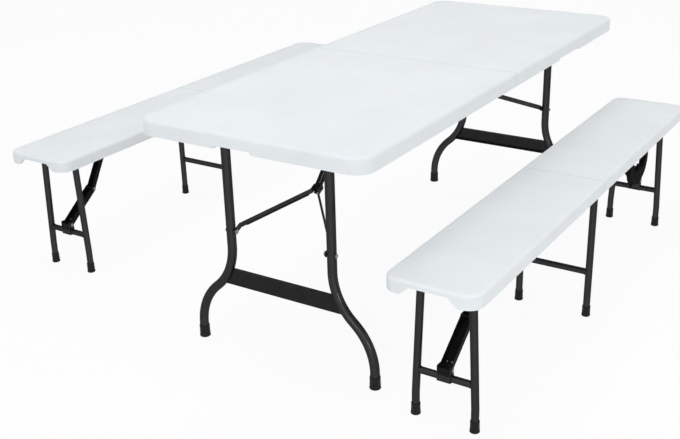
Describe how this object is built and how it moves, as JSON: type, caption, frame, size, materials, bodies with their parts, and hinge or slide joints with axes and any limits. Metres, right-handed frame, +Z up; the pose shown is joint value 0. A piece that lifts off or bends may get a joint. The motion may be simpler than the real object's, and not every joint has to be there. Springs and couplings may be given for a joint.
{
  "type": "folding table and bench set",
  "caption": "Long folding table with two folding benches, white moulded tops on dark tube legs with folding braces, set up in the open position.",
  "frame": {"origin": "on the floor under the centre of the whole set's box", "axes": "+X along the table from its near end to its far end, +Y to the table's left side, +Z up"},
  "size_m": [1.991, 1.865, 0.74],
  "materials": {
    "white_plastic": "fine-textured moulded polyethylene",
    "dark_steel": "powder coated",
    "zinc": "zinc plated",
    "rubber": "matte",
    "black_plastic": "moulded"
  },
  "bodies": {
    "table_near_half": {"table_near_top": "white_plastic", "table_near_rails": "dark_steel", "table_near_hinges": "zinc", "table_near_brace_bracket": "dark_steel"},
    "table_near_legs": {"table_near_left_leg": "dark_steel", "table_near_right_leg": "dark_steel", "table_near_cross_plate": "dark_steel", "table_near_pivot_tube": "dark_steel", "table_near_feet": "rubber", "table_near_yoke_bolts": "zinc"},
    "table_near_brace_yoke": {"table_near_yoke": "dark_steel"},
    "table_near_brace_link": {"table_near_upper_link": "dark_steel"},
    "table_far_half": {"table_far_top": "white_plastic", "table_far_rails": "dark_steel", "table_far_hinges": "zinc", "table_far_brace_bracket": "dark_steel"},
    "table_far_legs": {"table_far_left_leg": "dark_steel", "table_far_right_leg": "dark_steel", "table_far_cross_plate": "dark_steel", "table_far_pivot_tube": "dark_steel", "table_far_feet": "rubber", "table_far_yoke_bolts": "zinc"},
    "table_far_brace_yoke": {"table_far_yoke": "dark_steel"},
    "table_far_brace_link": {"table_far_upper_link": "dark_steel"},
    "left_bench_near_half": {"left_bench_near_top": "white_plastic", "left_bench_near_hinges": "zinc", "left_bench_near_brackets": "black_plastic"},
    "left_bench_near_leg_frame": {"left_bench_near_frame": "dark_steel", "left_bench_near_feet": "rubber"},
    "left_bench_near_lower_brace": {"left_bench_near_lower_link": "dark_steel"},
    "left_bench_near_upper_brace": {"left_bench_near_upper_link": "dark_steel"},
    "left_bench_far_half": {"left_bench_far_top": "white_plastic", "left_bench_far_hinges": "zinc", "left_bench_far_brackets": "black_plastic"},
    "left_bench_far_leg_frame": {"left_bench_far_frame": "dark_steel", "left_bench_far_feet": "rubber"},
    "left_bench_far_lower_brace": {"left_bench_far_lower_link": "dark_steel"},
    "left_bench_far_upper_brace": {"left_bench_far_upper_link": "dark_steel"},
    "left_bench_mid_leg_frame": {"left_bench_mid_frame": "dark_steel", "left_bench_mid_feet": "rubber"},
    "left_bench_carry_grip": {"left_bench_grip": "black_plastic"},
    "right_bench_near_half": {"right_bench_near_top": "white_plastic", "right_bench_near_hinges": "zinc", "right_bench_near_brackets": "black_plastic"},
    "right_bench_near_leg_frame": {"right_bench_near_frame": "dark_steel", "right_bench_near_feet": "rubber"},
    "right_bench_near_lower_brace": {"right_bench_near_lower_link": "dark_steel"},
    "right_bench_near_upper_brace": {"right_bench_near_upper_link": "dark_steel"},
    "right_bench_far_half": {"right_bench_far_top": "white_plastic", "right_bench_far_hinges": "zinc", "right_bench_far_brackets": "black_plastic"},
    "right_bench_far_leg_frame": {"right_bench_far_frame": "dark_steel", "right_bench_far_feet": "rubber"},
    "right_bench_far_lower_brace": {"right_bench_far_lower_link": "dark_steel"},
    "right_bench_far_upper_brace": {"right_bench_far_upper_link": "dark_steel"},
    "right_bench_mid_leg_frame": {"right_bench_mid_frame": "dark_steel", "right_bench_mid_feet": "rubber"},
    "right_bench_carry_grip": {"right_bench_grip": "black_plastic"}
  },
  "joints": [
    {"name": "table_near_legs_fold", "type": "hinge", "parent": "table_near_half", "child": "table_near_legs", "pos_m": [-0.8375, -0.2445, 0.7108], "axis": [0, -1, 0], "range_deg": [0, 90]},
    {"name": "table_near_yoke_turn", "type": "hinge", "parent": "table_near_legs", "child": "table_near_brace_yoke", "pos_m": [-0.8375, -0.2445, 0.385], "axis": [0, -1, 0], "range_deg": [0, 63.91]},
    {"name": "table_near_link_turn", "type": "hinge", "parent": "table_near_half", "child": "table_near_brace_link", "pos_m": [-0.4175, -0.2445, 0.7108], "axis": [0, 1, 0], "range_deg": [0, 46.01]},
    {"name": "table_far_legs_fold", "type": "hinge", "parent": "table_far_half", "child": "table_far_legs", "pos_m": [0.7025, -0.2445, 0.7108], "axis": [0, 1, 0], "range_deg": [0, 90]},
    {"name": "table_far_yoke_turn", "type": "hinge", "parent": "table_far_legs", "child": "table_far_brace_yoke", "pos_m": [0.7025, -0.2445, 0.385], "axis": [0, 1, 0], "range_deg": [0, 63.91]},
    {"name": "table_far_link_turn", "type": "hinge", "parent": "table_far_half", "child": "table_far_brace_link", "pos_m": [0.2825, -0.2445, 0.7108], "axis": [0, -1, 0], "range_deg": [0, 46.01]},
    {"name": "table_halves_fold", "type": "hinge", "parent": "table_near_half", "child": "table_far_half", "pos_m": [-0.0675, -0.2445, 0.6874], "axis": [0, 1, 0], "range_deg": [0, 85]},
    {"name": "left_bench_near_legs_fold", "type": "hinge", "parent": "left_bench_near_half", "child": "left_bench_near_leg_frame", "pos_m": [-0.6795, 0.7995, 0.4235], "axis": [0, -1, 0], "range_deg": [0, 90]},
    {"name": "left_bench_near_lower_turn", "type": "hinge", "parent": "left_bench_near_leg_frame", "child": "left_bench_near_lower_brace", "pos_m": [-0.6795, 0.7995, 0.165], "axis": [0, 1, 0], "range_deg": [0, 126.81]},
    {"name": "left_bench_near_upper_turn", "type": "hinge", "parent": "left_bench_near_half", "child": "left_bench_near_upper_brace", "pos_m": [-0.4535, 0.7995, 0.4235], "axis": [0, -1, 0], "range_deg": [0, 121.21]},
    {"name": "left_bench_far_legs_fold", "type": "hinge", "parent": "left_bench_far_half", "child": "left_bench_far_leg_frame", "pos_m": [0.8905, 0.7995, 0.4235], "axis": [0, 1, 0], "range_deg": [0, 90]},
    {"name": "left_bench_far_lower_turn", "type": "hinge", "parent": "left_bench_far_leg_frame", "child": "left_bench_far_lower_brace", "pos_m": [0.8905, 0.7995, 0.165], "axis": [0, -1, 0], "range_deg": [0, 126.81]},
    {"name": "left_bench_far_upper_turn", "type": "hinge", "parent": "left_bench_far_half", "child": "left_bench_far_upper_brace", "pos_m": [0.6645, 0.7995, 0.4235], "axis": [0, 1, 0], "range_deg": [0, 121.21]},
    {"name": "left_bench_mid_legs_fold", "type": "hinge", "parent": "left_bench_near_half", "child": "left_bench_mid_leg_frame", "pos_m": [0.0775, 0.7995, 0.4235], "axis": [0, 1, 0], "range_deg": [0, 90]},
    {"name": "left_bench_halves_fold", "type": "hinge", "parent": "left_bench_near_half", "child": "left_bench_far_half", "pos_m": [0.1055, 0.7995, 0.405], "axis": [0, 1, 0], "range_deg": [0, 70]},
    {"name": "left_bench_grip_swing", "type": "hinge", "parent": "left_bench_far_half", "child": "left_bench_carry_grip", "pos_m": [0.4955, 0.6845, 0.398], "axis": [-1, 0, 0], "range_deg": [0, 90]},
    {"name": "left_bench_place", "type": "slide", "parent": "table_near_half", "child": "left_bench_near_half", "axis": [0, 1, 0], "range_m": [0, 0.3]},
    {"name": "right_bench_near_legs_fold", "type": "hinge", "parent": "right_bench_near_half", "child": "right_bench_near_leg_frame", "pos_m": [-0.8905, -0.7995, 0.4235], "axis": [0, -1, 0], "range_deg": [0, 90]},
    {"name": "right_bench_near_lower_turn", "type": "hinge", "parent": "right_bench_near_leg_frame", "child": "right_bench_near_lower_brace", "pos_m": [-0.8905, -0.7995, 0.165], "axis": [0, 1, 0], "range_deg": [0, 126.81]},
    {"name": "right_bench_near_upper_turn", "type": "hinge", "parent": "right_bench_near_half", "child": "right_bench_near_upper_brace", "pos_m": [-0.6645, -0.7995, 0.4235], "axis": [0, -1, 0], "range_deg": [0, 121.21]},
    {"name": "right_bench_far_legs_fold", "type": "hinge", "parent": "right_bench_far_half", "child": "right_bench_far_leg_frame", "pos_m": [0.6795, -0.7995, 0.4235], "axis": [0, 1, 0], "range_deg": [0, 90]},
    {"name": "right_bench_far_lower_turn", "type": "hinge", "parent": "right_bench_far_leg_frame", "child": "right_bench_far_lower_brace", "pos_m": [0.6795, -0.7995, 0.165], "axis": [0, -1, 0], "range_deg": [0, 126.81]},
    {"name": "right_bench_far_upper_turn", "type": "hinge", "parent": "right_bench_far_half", "child": "right_bench_far_upper_brace", "pos_m": [0.4535, -0.7995, 0.4235], "axis": [0, 1, 0], "range_deg": [0, 121.21]},
    {"name": "right_bench_mid_legs_fold", "type": "hinge", "parent": "right_bench_near_half", "child": "right_bench_mid_leg_frame", "pos_m": [-0.1335, -0.7995, 0.4235], "axis": [0, 1, 0], "range_deg": [0, 90]},
    {"name": "right_bench_halves_fold", "type": "hinge", "parent": "right_bench_near_half", "child": "right_bench_far_half", "pos_m": [-0.1055, -0.7995, 0.405], "axis": [0, 1, 0], "range_deg": [0, 70]},
    {"name": "right_bench_grip_swing", "type": "hinge", "parent": "right_bench_far_half", "child": "right_bench_carry_grip", "pos_m": [0.2845, -0.9145, 0.398], "axis": [-1, 0, 0], "range_deg": [0, 90]},
    {"name": "right_bench_place", "type": "slide", "parent": "table_near_half", "child": "right_bench_near_half", "axis": [0, -1, 0], "range_m": [0, 0.3]}
  ],
  "couplings": [
    {"joint": "table_near_yoke_turn", "follows": "table_near_legs_fold", "ratio": 0.70995},
    {"joint": "table_near_link_turn", "follows": "table_near_legs_fold", "ratio": 0.51109},
    {"joint": "table_far_yoke_turn", "follows": "table_far_legs_fold", "ratio": 0.70995},
    {"joint": "table_far_link_turn", "follows": "table_far_legs_fold", "ratio": 0.51109},
    {"joint": "left_bench_near_lower_turn", "follows": "left_bench_near_legs_fold", "ratio": 1.4089},
    {"joint": "left_bench_near_upper_turn", "follows": "left_bench_near_legs_fold", "ratio": 1.3466},
    {"joint": "left_bench_far_lower_turn", "follows": "left_bench_far_legs_fold", "ratio": 1.4089},
    {"joint": "left_bench_far_upper_turn", "follows": "left_bench_far_legs_fold", "ratio": 1.3466},
    {"joint": "right_bench_near_lower_turn", "follows": "right_bench_near_legs_fold", "ratio": 1.4089},
    {"joint": "right_bench_near_upper_turn", "follows": "right_bench_near_legs_fold", "ratio": 1.3466},
    {"joint": "right_bench_far_lower_turn", "follows": "right_bench_far_legs_fold", "ratio": 1.4089},
    {"joint": "right_bench_far_upper_turn", "follows": "right_bench_far_legs_fold", "ratio": 1.3466}
  ]
}
